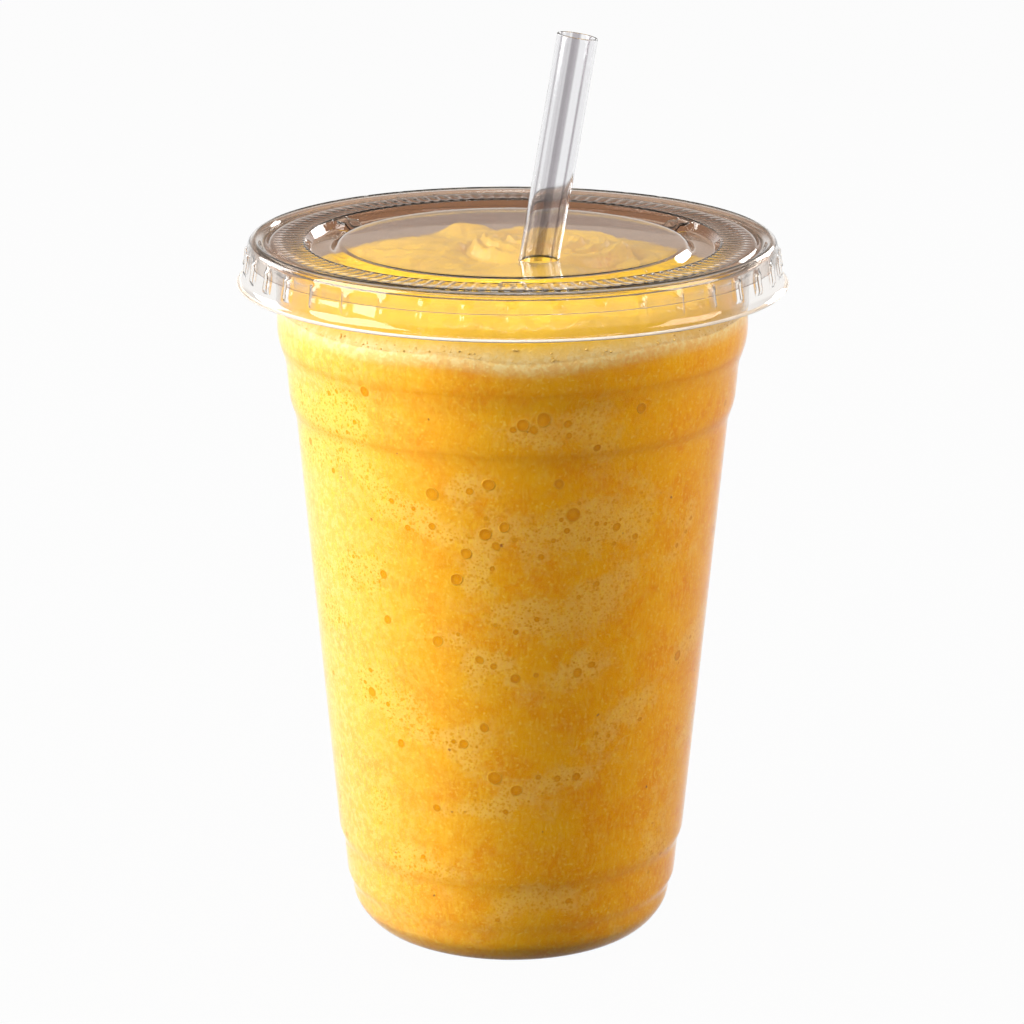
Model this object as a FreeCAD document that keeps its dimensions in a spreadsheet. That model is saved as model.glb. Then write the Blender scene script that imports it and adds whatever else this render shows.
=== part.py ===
"""A pineapple smoothie in a clear cup with a flat clear lid and a clear straw.

Frame: the origin is the middle of the foot ring the cup stands on, +Z is up, and the straw leans
towards +X. Millimetres.
"""
import FreeCAD, Part
import math
import os

import Sketcher

doc = FreeCAD.newDocument("pineapple_smoothie")
sheet = doc.addObject("Spreadsheet::Sheet", "Dimensions")

DIMENSIONS = {
    # Cup: outer radii and the heights they are at, from the foot to the rim.
    "cup_wall": 0.6,
    "foot_inner_radius": 25.4,
    "foot_outer_radius": 27.4,
    "foot_bend": 3.7,
    "heel_radius": 30.9,
    "heel_height": 3.4,
    "recess_radius": 23.4,
    "recess_height": 3.2,
    "low_band_radius": 31.2,
    "low_band_height": 6.9,
    "low_step_radius": 32.1,
    "low_step_height": 9.0,
    "mid_band_radius": 32.7,
    "mid_band_height": 16.0,
    "mid_step_radius": 33.6,
    "mid_step_height": 18.4,
    "shoulder_radius": 40.8,
    "shoulder_height": 100.8,
    "shoulder_step_radius": 42.0,
    "shoulder_step_height": 104.2,
    "collar_radius": 42.6,
    "collar_height": 111.6,
    "neck_radius": 44.1,
    "neck_height": 116.2,
    "flare_height": 128.4,
    "curl_inner_radius": 46.7,
    "curl_low_height": 131.2,
    "curl_top_radius": 47.8,
    "cup_height": 133.4,
    "rim_radius": 48.8,
    "lip_height": 130.4,
    "lip_outer_drop": 0.7,
    "lip_inner_drop": 0.4,
    "lip_outer_bend": 1,
    "lip_inner_bend": 0.5,
    "curl_outer_bend": 2.6,
    "curl_inner_bend": 2.2,
    "recess_inset_share": 0.6,
    # Lid: radii of its rings and heights of its upper face.
    "lid_wall": 0.45,
    "flange_radius": 51.5,
    "flange_height": 126.2,
    "skirt_radius": 49.7,
    "skirt_height": 129.6,
    "skirt_bend": 7,
    "bead_radius": 49.45,
    "bead_low_height": 130.2,
    "bead_side_height": 133.1,
    "bead_top_radius": 48.1,
    "bead_height": 134.5,
    "bead_bend": 1.4,
    "bead_foot_radius": 46.4,
    "bead_foot_height": 133.4,
    "groove_radius": 45.7,
    "top_outer_radius": 45.2,
    "top_height": 133.9,
    "top_inner_radius": 38.7,
    "channel_outer_radius": 37.6,
    "channel_inner_radius": 33.4,
    "channel_height": 132.1,
    "panel_radius": 32.5,
    "panel_height": 133.4,
    # Lid's lower face where it isn't simply one wall inside the upper one.
    "bead_foot_under_radius": 46.6,
    "bead_top_under_radius": 48.2,
    "skirt_under_height": 130.1,
    "flange_under_height": 126.0,
    # Lid details.
    "straw_hole_radius": 4.3,
    "flute_count": 120,
    "flute_inner_radius": 39.0,
    "flute_length": 3.9,
    "flute_width": 1.2,
    "flute_depth": 0.22,
    "flute_clearance": 0.1,
    "rib_count": 40,
    "rib_width": 0.7,
    "rib_depth": 0.75,
    "rib_low_height": 128.9,
    "rib_high_height": 132.4,
    "rib_root": 0.2,
    "lug_count": 3,
    "lug_angle": 30,
    "lug_width": 5.0,
    "lug_inner_radius": 34.9,
    "lug_outer_radius": 38.0,
    "lug_root": 0.2,
    "lug_drop": 0.2,
    "lug_inner_slope": 0.4,
    "lug_outer_slope": 0.3,
    # Straw: the middle line crosses the lid's panel at the hole and leans towards +X.
    "straw_radius": 3.7,
    "straw_wall": 0.35,
    "straw_lean": 9.3,
    "straw_low_height": 6.2,
    "straw_length": 170,
    "straw_hole_along": 4.8,
    "straw_hole_across": -16.2,
    # Smoothie.
    "drink_gap": 0.1,
    "straw_gap": 0.1,
    "drink_wall_height": 122.5,
    "drink_edge_radius": 42.4,
    "drink_edge_height": 123.6,
    "drink_crest_radius": 38.6,
    "drink_crest_height": 127.1,
    "drink_crest_bend": 8,
    "drink_mound_bend": 240,
    "drink_mound_height": 129.9,
    # Folds that the blender left in the smoothie's top.
    "swirl_along": 5.8,
    "swirl_across": 6,
    "swirl_ring_radius": 9.6,
    "swirl_ring_thickness": 4.4,
    "swirl_height": 126.4,
    "fold_count": 4,
    "fold_length": 13,
    "fold_width": 3.2,
    "fold_rise": 4.6,
    "fold_height": 124.7,
    "fold_ring_radius": 23,
    "fold_first_angle": 128,
    "fold_spacing": 24,
    "fold_twist": 62,
}


class Size:
    """A length with the spreadsheet expression that it follows."""

    def __init__(self, value, text):
        self.value = value
        self.text = text

    def __add__(self, other):
        other = size_of(other)
        return Size(self.value + other.value, f"({self.text} + {other.text})")

    def __sub__(self, other):
        other = size_of(other)
        return Size(self.value - other.value, f"({self.text} - {other.text})")

    def __mul__(self, other):
        other = size_of(other)
        return Size(self.value * other.value, f"({self.text} * {other.text})")


def size_of(thing):
    """The Size for a dimension's name, a plain number or a Size."""
    if isinstance(thing, Size):
        return thing
    if isinstance(thing, str):
        return Size(DIMENSIONS[thing], f"Dimensions.{thing}")
    return Size(thing, f"{thing}")


def fill_sheet():
    """Writes each dimension as a number with its name beside it."""
    for row, (name, value) in enumerate(DIMENSIONS.items(), start=1):
        sheet.set(f"A{row}", name)
        sheet.set(f"B{row}", f"{value}")
        sheet.setAlias(f"B{row}", name)
    doc.recompute()


def origin_part(body, role):
    """The body's own plane or axis with that role, such as XZ_Plane or Z_Axis."""
    return next(feature for feature in body.Origin.OriginFeatures if feature.Role == role)


def new_body(label):
    body = doc.addObject("PartDesign::Body", label.replace(" ", "_"))
    body.Label = label
    return body


def new_sketch(body, name, role):
    sketch = body.newObject("Sketcher::SketchObject", name)
    sketch.AttachmentSupport = [(origin_part(body, role), "")]
    sketch.MapMode = "FlatFace"
    return sketch


def pin(sketch, kind, target, size):
    """Adds a constraint on target whose value follows size."""
    index = sketch.addConstraint(Sketcher.Constraint(kind, *target, size.value))
    sketch.setExpression(f"Constraints[{index}]", size.text)


def pin_point(sketch, geometry, end, across, up):
    """Holds one end of a line or arc at (across, up) from the sketch's origin."""
    origin = (-1, 1)
    for kind, size in (("DistanceX", across), ("DistanceY", up)):
        if abs(size.value) < 1e-9:
            other = -2 if kind == "DistanceX" else -1
            sketch.addConstraint(Sketcher.Constraint("PointOnObject", geometry, end, other))
        else:
            pin(sketch, kind, (*origin, geometry, end), size)


def arc_between(start, end, radius, side):
    """The arc of that radius from start to end, bulging to the left (+1) or right (-1) of the way."""
    along = end - start
    half = along.Length / 2
    left = FreeCAD.Vector(-along.y, along.x, 0).normalize()
    middle = (start + end) / 2
    rise = radius - math.sqrt(radius * radius - half * half)
    return Part.Arc(start, middle + left * (rise * side), end)


def draw_outline(sketch, corners):
    """Closes an outline through corners: (across, up), or (across, up, bend, side) after an arc."""
    spots = [(size_of(corner[0]), size_of(corner[1])) for corner in corners]
    points = [FreeCAD.Vector(across.value, up.value, 0) for across, up in spots]
    ends = []
    for number, corner in enumerate(corners):
        start, end = points[number - 1], points[number]
        if len(corner) == 2:
            piece = sketch.addGeometry(Part.LineSegment(start, end), False)
            ends.append((piece, 1, 2))
            continue
        bend, side = size_of(corner[2]), corner[3]
        piece = sketch.addGeometry(arc_between(start, end, bend.value, side), False)
        first = sketch.getPoint(piece, 1)
        flipped = first.distanceToPoint(start) > first.distanceToPoint(end)
        ends.append((piece, 2, 1) if flipped else (piece, 1, 2))
        pin(sketch, "Radius", (piece,), bend)
    for number, (piece, _, last) in enumerate(ends):
        following, first, _ = ends[(number + 1) % len(ends)]
        sketch.addConstraint(Sketcher.Constraint("Coincident", piece, last, following, first))
        pin_point(sketch, piece, last, *spots[number])


def revolve(body, name, corners):
    """A solid turned about Z from an outline of (radius, height) corners."""
    sketch = new_sketch(body, f"{name}_outline", "XZ_Plane")
    draw_outline(sketch, corners)
    turn = body.newObject("PartDesign::Revolution", name)
    turn.Profile = sketch
    turn.ReferenceAxis = (origin_part(body, "Z_Axis"), [""])
    turn.Angle = 360
    return turn


def repeat_round(body, feature, count_name):
    """Repeats a feature in equal steps about Z."""
    pattern = body.newObject("PartDesign::PolarPattern", f"{feature.Name}_ring")
    pattern.Originals = [feature]
    pattern.Axis = (origin_part(body, "Z_Axis"), [""])
    pattern.Angle = 360
    pattern.setExpression("Occurrences", f"Dimensions.{count_name}")
    body.Tip = pattern
    doc.recompute()
    return pattern


def cup_outside():
    """The cup's outer face from the foot ring up to the flare under the rim."""
    return [
        ("foot_inner_radius", 0),
        ("foot_outer_radius", 0),
        ("heel_radius", "heel_height", "foot_bend", -1),
        ("low_band_radius", "low_band_height"),
        ("low_step_radius", "low_step_height"),
        ("mid_band_radius", "mid_band_height"),
        ("mid_step_radius", "mid_step_height"),
        ("shoulder_radius", "shoulder_height"),
        ("shoulder_step_radius", "shoulder_step_height"),
        ("collar_radius", "collar_height"),
        ("neck_radius", "neck_height"),
        ("neck_radius", "flare_height"),
    ]


def cup_inside(gap):
    """The cup's inner face, from the flare down to the recess, moved in by a gap."""
    inset = size_of("cup_wall") + gap
    inside = [
        (size_of(radius) - inset, height)
        for radius, height, *_ in reversed(cup_outside()[3:])
    ]
    floor = size_of("recess_height") + inset
    recess_inset = inset * size_of("recess_inset_share")
    return inside + [
        (size_of("heel_radius") - inset, "heel_height"),
        ("foot_outer_radius", inset, size_of("foot_bend") - inset, -1),
        (size_of("foot_inner_radius") + recess_inset, inset),
        (size_of("recess_radius") + recess_inset, floor),
        (0, floor),
    ]


def make_cup():
    """Thin cup with a recessed floor, two steps low down, two below the neck and a curled rim."""
    body = new_body("cup")
    curl_inside = size_of("curl_inner_radius") - "cup_wall"
    lip_inside = size_of("rim_radius") - "cup_wall"
    curl_top = size_of("cup_height") - "cup_wall"
    curl = [
        ("curl_inner_radius", "curl_low_height"),
        ("curl_top_radius", curl_top, "curl_inner_bend", 1),
        (lip_inside, curl_top - "lip_inner_drop", "lip_inner_bend", 1),
        (lip_inside, "lip_height"),
        ("rim_radius", "lip_height"),
        ("rim_radius", size_of("cup_height") - "lip_outer_drop"),
        ("curl_top_radius", "cup_height", "lip_outer_bend", -1),
        (curl_inside, "curl_low_height", "curl_outer_bend", -1),
    ]
    underside = [(0, "recess_height"), ("recess_radius", "recess_height")]
    revolve(body, "cup_shell", underside + cup_outside() + curl + cup_inside(size_of(0)))
    doc.recompute()
    return body


def lid_top():
    """The lid's upper face from the flange's edge to the middle."""
    return [
        ("flange_radius", "flange_height"),
        ("skirt_radius", "skirt_height", "skirt_bend", -1),
        ("bead_radius", "bead_low_height"),
        ("bead_radius", "bead_side_height"),
        ("bead_top_radius", "bead_height", "bead_bend", -1),
        ("bead_foot_radius", "bead_foot_height"),
        ("groove_radius", "bead_foot_height"),
        ("top_outer_radius", "top_height"),
        ("top_inner_radius", "top_height"),
        ("channel_outer_radius", "channel_height"),
        ("channel_inner_radius", "channel_height"),
        ("panel_radius", "panel_height"),
        (0, "panel_height"),
    ]


def lid_underside():
    """The lid's lower face, one wall inside the upper one, from the middle to the flange's edge."""
    wall = size_of("lid_wall")
    return [
        (0, size_of("panel_height") - wall),
        (size_of("panel_radius") - wall, size_of("panel_height") - wall),
        (size_of("channel_inner_radius") - wall, size_of("channel_height") - wall),
        (size_of("channel_outer_radius") + wall, size_of("channel_height") - wall),
        (size_of("top_inner_radius") + wall, size_of("top_height") - wall),
        (size_of("top_outer_radius") - wall, size_of("top_height") - wall),
        (size_of("groove_radius") - wall, size_of("bead_foot_height") - wall),
        ("bead_foot_under_radius", size_of("bead_foot_height") - wall),
        ("bead_top_under_radius", size_of("bead_height") - wall),
        (size_of("bead_radius") - wall, "bead_side_height", size_of("bead_bend") - wall, 1),
        (size_of("bead_radius") - wall, "skirt_under_height"),
        (size_of("flange_radius") - wall, "flange_under_height", "skirt_bend", 1),
    ]


def cut_straw_hole(body):
    sketch = new_sketch(body, "straw_hole_outline", "XY_Plane")
    centre = FreeCAD.Vector(DIMENSIONS["straw_hole_along"], DIMENSIONS["straw_hole_across"], 0)
    circle = Part.Circle(centre, FreeCAD.Vector(0, 0, 1), DIMENSIONS["straw_hole_radius"])
    ring = sketch.addGeometry(circle, False)
    pin(sketch, "Radius", (ring,), size_of("straw_hole_radius"))
    pin_point(sketch, ring, 3, size_of("straw_hole_along"), size_of("straw_hole_across"))
    hole = body.newObject("PartDesign::Pocket", "straw_hole")
    hole.Profile = sketch
    hole.Type = "ThroughAll"
    hole.Reversed = True
    body.Tip = hole
    doc.recompute()


def cut_flutes(body):
    """Shallow V grooves that run outwards on the lid's top ring."""
    sketch = new_sketch(body, "flute_outline", "YZ_Plane")
    sketch.setExpression(".AttachmentOffset.Base.z", "Dimensions.flute_inner_radius")
    half = size_of("flute_width") * 0.5
    top = size_of("top_height") + "flute_clearance"
    draw_outline(sketch, [
        (size_of(0) - half, top),
        (0, size_of("top_height") - "flute_depth"),
        (half, top),
    ])
    flute = body.newObject("PartDesign::Pocket", "flute")
    flute.Profile = sketch
    flute.setExpression("Length", "Dimensions.flute_length")
    flute.Reversed = True
    doc.recompute()
    repeat_round(body, flute, "flute_count")


def add_ribs(body):
    """Small wedges down the outside of the skirt, which stiffen it under the bead."""
    sketch = new_sketch(body, "rib_outline", "XZ_Plane")
    inside = size_of("bead_radius") - "rib_root"
    draw_outline(sketch, [
        (inside, "rib_low_height"),
        (size_of("bead_radius") + "rib_depth", "rib_low_height"),
        (inside, "rib_high_height"),
    ])
    rib = body.newObject("PartDesign::Pad", "rib")
    rib.Profile = sketch
    rib.setExpression("Length", "Dimensions.rib_width")
    rib.Midplane = True
    doc.recompute()
    repeat_round(body, rib, "rib_count")


def add_lugs(body):
    """Three blocks in the channel that keep stacked lids apart."""
    sketch = new_sketch(body, "lug_outline", "XZ_Plane")
    turn = FreeCAD.Rotation(FreeCAD.Vector(0, 1, 0), 1)
    sketch.AttachmentOffset = FreeCAD.Placement(FreeCAD.Vector(), turn)
    sketch.setExpression(".AttachmentOffset.Rotation.Angle", "Dimensions.lug_angle")
    base = size_of("channel_height") - "lug_root"
    top = size_of("top_height") - "lug_drop"
    draw_outline(sketch, [
        ("lug_inner_radius", base),
        ("lug_outer_radius", base),
        (size_of("lug_outer_radius") + "lug_outer_slope", top),
        (size_of("lug_inner_radius") + "lug_inner_slope", top),
    ])
    lug = body.newObject("PartDesign::Pad", "lug")
    lug.Profile = sketch
    lug.setExpression("Length", "Dimensions.lug_width")
    lug.Midplane = True
    doc.recompute()
    repeat_round(body, lug, "lug_count")


def make_lid():
    """Flat lid: skirt and bead over the cup's rim, fluted ring, channel and raised panel."""
    body = new_body("lid")
    revolve(body, "lid_shell", lid_top() + lid_underside())
    doc.recompute()
    cut_flutes(body)
    add_ribs(body)
    add_lugs(body)
    cut_straw_hole(body)
    return body


def straw_foot():
    """Where the straw's middle line is at the straw's low end, as expressions."""
    drop = "(Dimensions.panel_height - Dimensions.straw_low_height)"
    along = f"Dimensions.straw_hole_along - {drop} * tan(Dimensions.straw_lean * 1 deg)"
    return along, "Dimensions.straw_hole_across", "Dimensions.straw_low_height"


def lean_like_straw(thing):
    """Puts a thing made along Z on the straw's middle line, leaning towards +X."""
    thing.Placement = FreeCAD.Placement(FreeCAD.Vector(), FreeCAD.Rotation(FreeCAD.Vector(0, 1, 0), 1))
    for axis, text in zip("xyz", straw_foot()):
        thing.setExpression(f".Placement.Base.{axis}", text)
    thing.setExpression(".Placement.Rotation.Angle", "Dimensions.straw_lean")


def make_straw():
    """Plain tube with both ends cut square."""
    body = new_body("straw")
    inside = size_of("straw_radius") - "straw_wall"
    revolve(body, "straw_tube", [
        (inside, 0),
        ("straw_radius", 0),
        ("straw_radius", "straw_length"),
        (inside, "straw_length"),
    ])
    lean_like_straw(body)
    doc.recompute()
    return body


def make_drink_body():
    """The smoothie's main form: it fills the cup and rises from the wall to a low mound."""
    body = new_body("smoothie body")
    inset = size_of("cup_wall") + "drink_gap"
    filled = cup_inside(size_of("drink_gap"))
    surface = [
        (0, "drink_mound_height"),
        ("drink_crest_radius", "drink_crest_height", "drink_mound_bend", 1),
        ("drink_edge_radius", "drink_edge_height", "drink_crest_bend", 1),
        (size_of("neck_radius") - inset, "drink_wall_height"),
    ]
    below_neck = filled[1:]
    revolve(body, "smoothie_fill", surface + below_neck)
    doc.recompute()
    return body


def make_folds():
    """A round swirl near the middle and thick folds beside it, part sunk in the mound."""
    swirl = doc.addObject("Part::Torus", "swirl_ring")
    swirl.setExpression("Radius1", "Dimensions.swirl_ring_radius")
    swirl.setExpression("Radius2", "Dimensions.swirl_ring_thickness")
    swirl.Placement = FreeCAD.Placement(FreeCAD.Vector(), FreeCAD.Rotation(FreeCAD.Vector(1, 0, 0), 2))
    swirl.setExpression(".Placement.Base.x", "Dimensions.swirl_along")
    swirl.setExpression(".Placement.Base.y", "Dimensions.swirl_across")
    swirl.setExpression(".Placement.Base.z", "Dimensions.swirl_height")
    folds = [swirl]
    for number in range(DIMENSIONS["fold_count"]):
        fold = doc.addObject("Part::Ellipsoid", f"fold_{number + 1}")
        fold.setExpression("Radius1", "Dimensions.fold_rise")
        fold.setExpression("Radius2", "Dimensions.fold_length")
        fold.setExpression("Radius3", "Dimensions.fold_width")
        angle = f"(Dimensions.fold_first_angle + {number} * Dimensions.fold_spacing)"
        fold.Placement = FreeCAD.Placement(
            FreeCAD.Vector(), FreeCAD.Rotation(FreeCAD.Vector(0, 0, 1), 1)
        )
        fold.setExpression(".Placement.Base.x", f"Dimensions.fold_ring_radius * cos({angle} * 1 deg)")
        fold.setExpression(".Placement.Base.y", f"Dimensions.fold_ring_radius * sin({angle} * 1 deg)")
        fold.setExpression(".Placement.Base.z", "Dimensions.fold_height")
        fold.setExpression(".Placement.Rotation.Angle", f"{angle} + Dimensions.fold_twist")
        folds.append(fold)
    return folds


def make_smoothie():
    """The smoothie with its folds, cut round the straw."""
    whole = doc.addObject("Part::MultiFuse", "smoothie_whole")
    whole.Shapes = [make_drink_body()] + make_folds()
    bore = doc.addObject("Part::Cylinder", "straw_bore")
    bore.setExpression("Radius", "Dimensions.straw_radius + Dimensions.straw_gap")
    bore.setExpression("Height", "Dimensions.straw_length")
    lean_like_straw(bore)
    smoothie = doc.addObject("Part::Cut", "smoothie")
    smoothie.Label = "smoothie"
    smoothie.Base = whole
    smoothie.Tool = bore
    doc.recompute()
    return smoothie


def check_document():
    """Stops if any object failed to build."""
    for thing in doc.Objects:
        if "Invalid" in thing.State or "Error" in thing.State:
            raise RuntimeError(f"{thing.Name} did not build: {thing.State}")


def check_part(part):
    """Stops if a sub-part isn't one sound solid."""
    shape = part.Shape
    if shape.isNull() or not shape.isValid() or len(shape.Solids) != 1:
        raise RuntimeError(f"{part.Label} is not one valid solid")
    box = shape.BoundBox
    print(f"{part.Label}: {shape.Volume / 1000:.2f} cm3, z {box.ZMin:.2f} to {box.ZMax:.2f}")


def main():
    fill_sheet()
    parts = [make_cup(), make_lid(), make_straw(), make_smoothie()]
    doc.recompute()
    check_document()
    for part in parts:
        check_part(part)
    os.makedirs("parts", exist_ok=True)
    for part in parts:
        part.Shape.exportStep(f"parts/{part.Label}.step")


main()
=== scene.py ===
"""The looks of a pineapple smoothie in a clear cup with a flat clear lid and a clear straw.

Lengths are in metres in the part's own frame: the origin is the middle of the cup's foot and +Z is
up. Outlines are written in millimetres as (radius, height, bend) corners and scaled by MM.
"""

import math
import random

import bmesh
import bpy
import numpy as np
from mathutils import Matrix, Vector, noise


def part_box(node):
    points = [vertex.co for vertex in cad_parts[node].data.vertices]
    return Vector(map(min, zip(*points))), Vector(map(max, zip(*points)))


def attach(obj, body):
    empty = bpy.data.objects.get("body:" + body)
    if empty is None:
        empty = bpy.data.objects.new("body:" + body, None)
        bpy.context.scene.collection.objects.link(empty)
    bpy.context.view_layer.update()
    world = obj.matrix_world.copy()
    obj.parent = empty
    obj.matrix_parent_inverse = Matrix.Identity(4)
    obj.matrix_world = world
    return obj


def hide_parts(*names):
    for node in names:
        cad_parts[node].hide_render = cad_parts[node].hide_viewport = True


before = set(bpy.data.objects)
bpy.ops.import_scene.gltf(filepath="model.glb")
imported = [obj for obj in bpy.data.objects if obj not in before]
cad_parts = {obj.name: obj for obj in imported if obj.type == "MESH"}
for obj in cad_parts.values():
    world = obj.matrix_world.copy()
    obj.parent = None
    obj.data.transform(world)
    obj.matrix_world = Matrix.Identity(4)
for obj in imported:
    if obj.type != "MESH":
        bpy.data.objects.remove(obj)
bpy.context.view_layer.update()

MM = 0.001
SHARP_ANGLE = math.radians(50)
FULL_TURN = 2 * math.pi
FRONT = -math.pi / 2


# ---- Sizes read from the frame, in millimetres -------------------------------------------------

def corners_mm(node):
    """The lowest and highest corners of a CAD node, in millimetres."""
    low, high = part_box(node)
    return low / MM, high / MM


_, cup_high = corners_mm("cup")
_, lid_high = corners_mm("lid")
straw_low, straw_high = corners_mm("straw")

RIM_RADIUS = cup_high.x
CUP_HEIGHT = cup_high.z
FLANGE_RADIUS = lid_high.x
BEAD_HEIGHT = lid_high.z
STRAW_RADIUS = (straw_high.y - straw_low.y) / 2
STRAW_ACROSS = (straw_high.y + straw_low.y) / 2

# ---- Sizes of the thin plastic, the drink and its froth, in millimetres ------------------------

CUP_WALL = 0.55
LID_WALL = 0.42
STRAW_WALL = 0.4
STRAW_END_BEND = 0.12
STRAW_LEAN = math.radians(9.3)
STRAW_HOLE_ALONG = 4.8
STRAW_HOLE_RADIUS = 3.6
PANEL_DROP = 1.1
CHANNEL_DROP = 0.6
FOOT_HEIGHT, FOOT_RADIUS = 3.3, 27
INTO_WALL = 0.2

# How finely the pieces are divided.
ROUND_SEGMENTS = 720
STRAW_SEGMENTS = 96
DRINK_SEGMENTS, DRINK_SIDE_ROWS, DRINK_TOP_ROWS = 448, 105, 95

PANEL_HEIGHT = BEAD_HEIGHT - PANEL_DROP
TOP_HEIGHT = BEAD_HEIGHT - CHANNEL_DROP
FLUTES = 120
FLUTE_DEPTH = 0.3
FLUTE_INNER, FLUTE_OUTER = 38.9, 43.1
FLUTE_END = 0.5
RIBS = 40
RIB_DEPTH = 0.55
RIB_LOW, RIB_HIGH = 128.8, 132.5
RIB_LOW_END, RIB_HIGH_END = 0.6, 0.5
RIB_HALF_WIDTH, RIB_FOOT_HALF_WIDTH = 0.55, 1.25
LUG_ANGLES = [math.radians(a) for a in (30, 150, 270)]
LUG_HALF_WIDTH = 2.5
LUG_INNER, LUG_OUTER = 34.7, 38.2
LUG_RISE = 1.45
LUG_SLOPE, LUG_END_SLOPE = 0.4, 0.3
LUG_UNDER_TOP = 0.3

CONTACT_HEIGHT = 121.6
# Where the drink's edge dips, as (degrees to the right of the front, half width, depth).
CONTACT_DIPS = [(5, 18, 1.7), (-35, 22, 0.8), (150, 12, 0.8)]
MOUND_HEIGHT = 130.2
MOUND_FALL = 0.0021
SWIRL_CENTRE = (5.8, 6.0)
SWIRL_RADIUS = 15.5
EDGE_RADIUS = 43.6
EDGE_SLOPE = 6.2
UNDER_PANEL = 0.25
STRAW_PULL = 8.0
FOAM_START, FOAM_DEPTH = 0.2, 1.3
FOAM_TOP_ROWS = 3
FOAM_MOST = 0.95
LEAST_FROTH, FROTH_RANGE = 0.08, 0.6
# The steps of the cup's wall in the drink's side, where the drink gets a painted shade line, as
# (height, half width).
RIDGES = [(114.4, 2.2), (102.6, 2.2), (17.2, 1.2), (8.2, 1.0)]
RIDGE_SOFTNESS = 0.75


# ---- Mesh helpers --------------------------------------------------------------------------------

def rounded(corners, steps=4):
    """An outline with each (radius, height, bend) corner turned into a short smooth curve."""
    points = [Vector(corner[:2]) for corner in corners]
    line = []
    for number, corner in enumerate(corners):
        here = points[number]
        bend = corner[2] if len(corner) > 2 else 0
        if bend == 0 or number in (0, len(corners) - 1):
            line.append(here)
            continue
        before, after = points[number - 1], points[number + 1]
        start = here + (before - here).normalized() * min(bend, (before - here).length * 0.48)
        end = here + (after - here).normalized() * min(bend, (after - here).length * 0.48)
        for step in range(steps + 1):
            t = step / steps
            line.append(start * (1 - t) ** 2 + here * 2 * t * (1 - t) + end * t ** 2)
    return line


def stepped(line, longest):
    """The same outline with points added so that no run is longer than a length."""
    out = [line[0]]
    for start, end in zip(line, line[1:]):
        runs = max(1, math.ceil((end - start).length / longest))
        out += [start.lerp(end, (run + 1) / runs) for run in range(runs)]
    return out


def moved_in(line, distance):
    """The outline moved to its left by a distance, which makes the other face of a thin wall."""
    out = []
    for number, here in enumerate(line):
        before = line[max(number - 1, 0)]
        after = line[min(number + 1, len(line) - 1)]
        along = (after - before).normalized()
        out.append(here + Vector((-along.y, along.x)) * distance)
    return out


def ring_faces(rows, columns, first=0, closed=False):
    """Quads between rows of points that each go round in columns."""
    faces = []
    count = rows if closed else rows - 1
    for row in range(count):
        low = first + row * columns
        high = first + ((row + 1) % rows) * columns
        for column in range(columns):
            after = (column + 1) % columns
            faces.append((low + column, low + after, high + after, high + column))
    return faces


def add_mesh(name, points, faces, material, attributes=None):
    """A smooth-shaded piece from points in millimetres, with its material and body set."""
    mesh = bpy.data.meshes.new(name)
    mesh.from_pydata((np.asarray(points) * MM).tolist(), [], faces)
    mesh.validate()
    for key, values in (attributes or {}).items():
        mesh.attributes.new(key, "FLOAT", "POINT").data.foreach_set("value", values)
    tidy = bmesh.new()
    tidy.from_mesh(mesh)
    bmesh.ops.recalc_face_normals(tidy, faces=tidy.faces)
    tidy.to_mesh(mesh)
    tidy.free()
    mesh.shade_smooth()
    mesh.set_sharp_from_angle(angle=SHARP_ANGLE)
    mesh.materials.append(material)
    piece = bpy.data.objects.new(name, mesh)
    bpy.context.scene.collection.objects.link(piece)
    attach(piece, "root")
    return piece


def turned(rings, segments, shape=None):
    """Points of rings (radius, height, centre x, centre y) round Z, each moved by shape."""
    theta = np.arange(segments) * FULL_TURN / segments
    rows = []
    for radius, height, centre_x, centre_y in rings:
        out, up = (0.0, 0.0) if shape is None else shape(radius, height, theta)
        row = np.empty((segments, 3))
        row[:, 0] = centre_x + (radius + out) * np.cos(theta)
        row[:, 1] = centre_y + (radius + out) * np.sin(theta)
        row[:, 2] = height + up
        rows.append(row)
    return np.concatenate(rows)


def smooth_step(value, low, high):
    """0 below low, 1 above high and smooth between."""
    t = np.clip((value - low) / (high - low), 0, 1)
    return t * t * (3 - 2 * t)


def turn_between(theta, angle):
    """The signed angle from angle to theta, between minus and plus half a turn."""
    return (theta - angle + math.pi) % FULL_TURN - math.pi


# ---- Materials -----------------------------------------------------------------------------------

def rgb(red, green, blue):
    """A display colour of 0 to 255 as linear RGBA."""
    def linear(value):
        value /= 255
        return value / 12.92 if value <= 0.04045 else ((value + 0.055) / 1.055) ** 2.4
    return (linear(red), linear(green), linear(blue), 1)


def empty_material(name):
    """A new material with no nodes, and its node tree."""
    material = bpy.data.materials.new(name)
    material.use_nodes = True
    material.node_tree.nodes.clear()
    return material, material.node_tree


def add_node(tree, kind, values=None, **settings):
    """A node with some of its settings and unlinked inputs set; a value may be another socket."""
    made = tree.nodes.new(kind)
    for key, value in settings.items():
        setattr(made, key, value)
    for key, value in (values or {}).items():
        if isinstance(value, bpy.types.NodeSocket):
            tree.links.new(value, made.inputs[key])
        else:
            made.inputs[key].default_value = value
    return made


def add_math(tree, operation, first, second=0.0, clamp=False):
    """The result of a sum on one or two values."""
    return add_node(tree, "ShaderNodeMath", {0: first, 1: second}, operation=operation,
                    use_clamp=clamp).outputs[0]


def add_mix(tree, share, first, second):
    """A colour between first and second."""
    mix = add_node(tree, "ShaderNodeMix", {0: share, 6: first, 7: second}, data_type="RGBA")
    return mix.outputs[2]


def add_range(tree, value, low, high, to_low=0.0, to_high=1.0):
    """value moved from low..high to to_low..to_high, and held there."""
    values = {"Value": value, "From Min": low, "From Max": high, "To Min": to_low, "To Max": to_high}
    return add_node(tree, "ShaderNodeMapRange", values, interpolation_type="SMOOTHSTEP").outputs[0]


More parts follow.
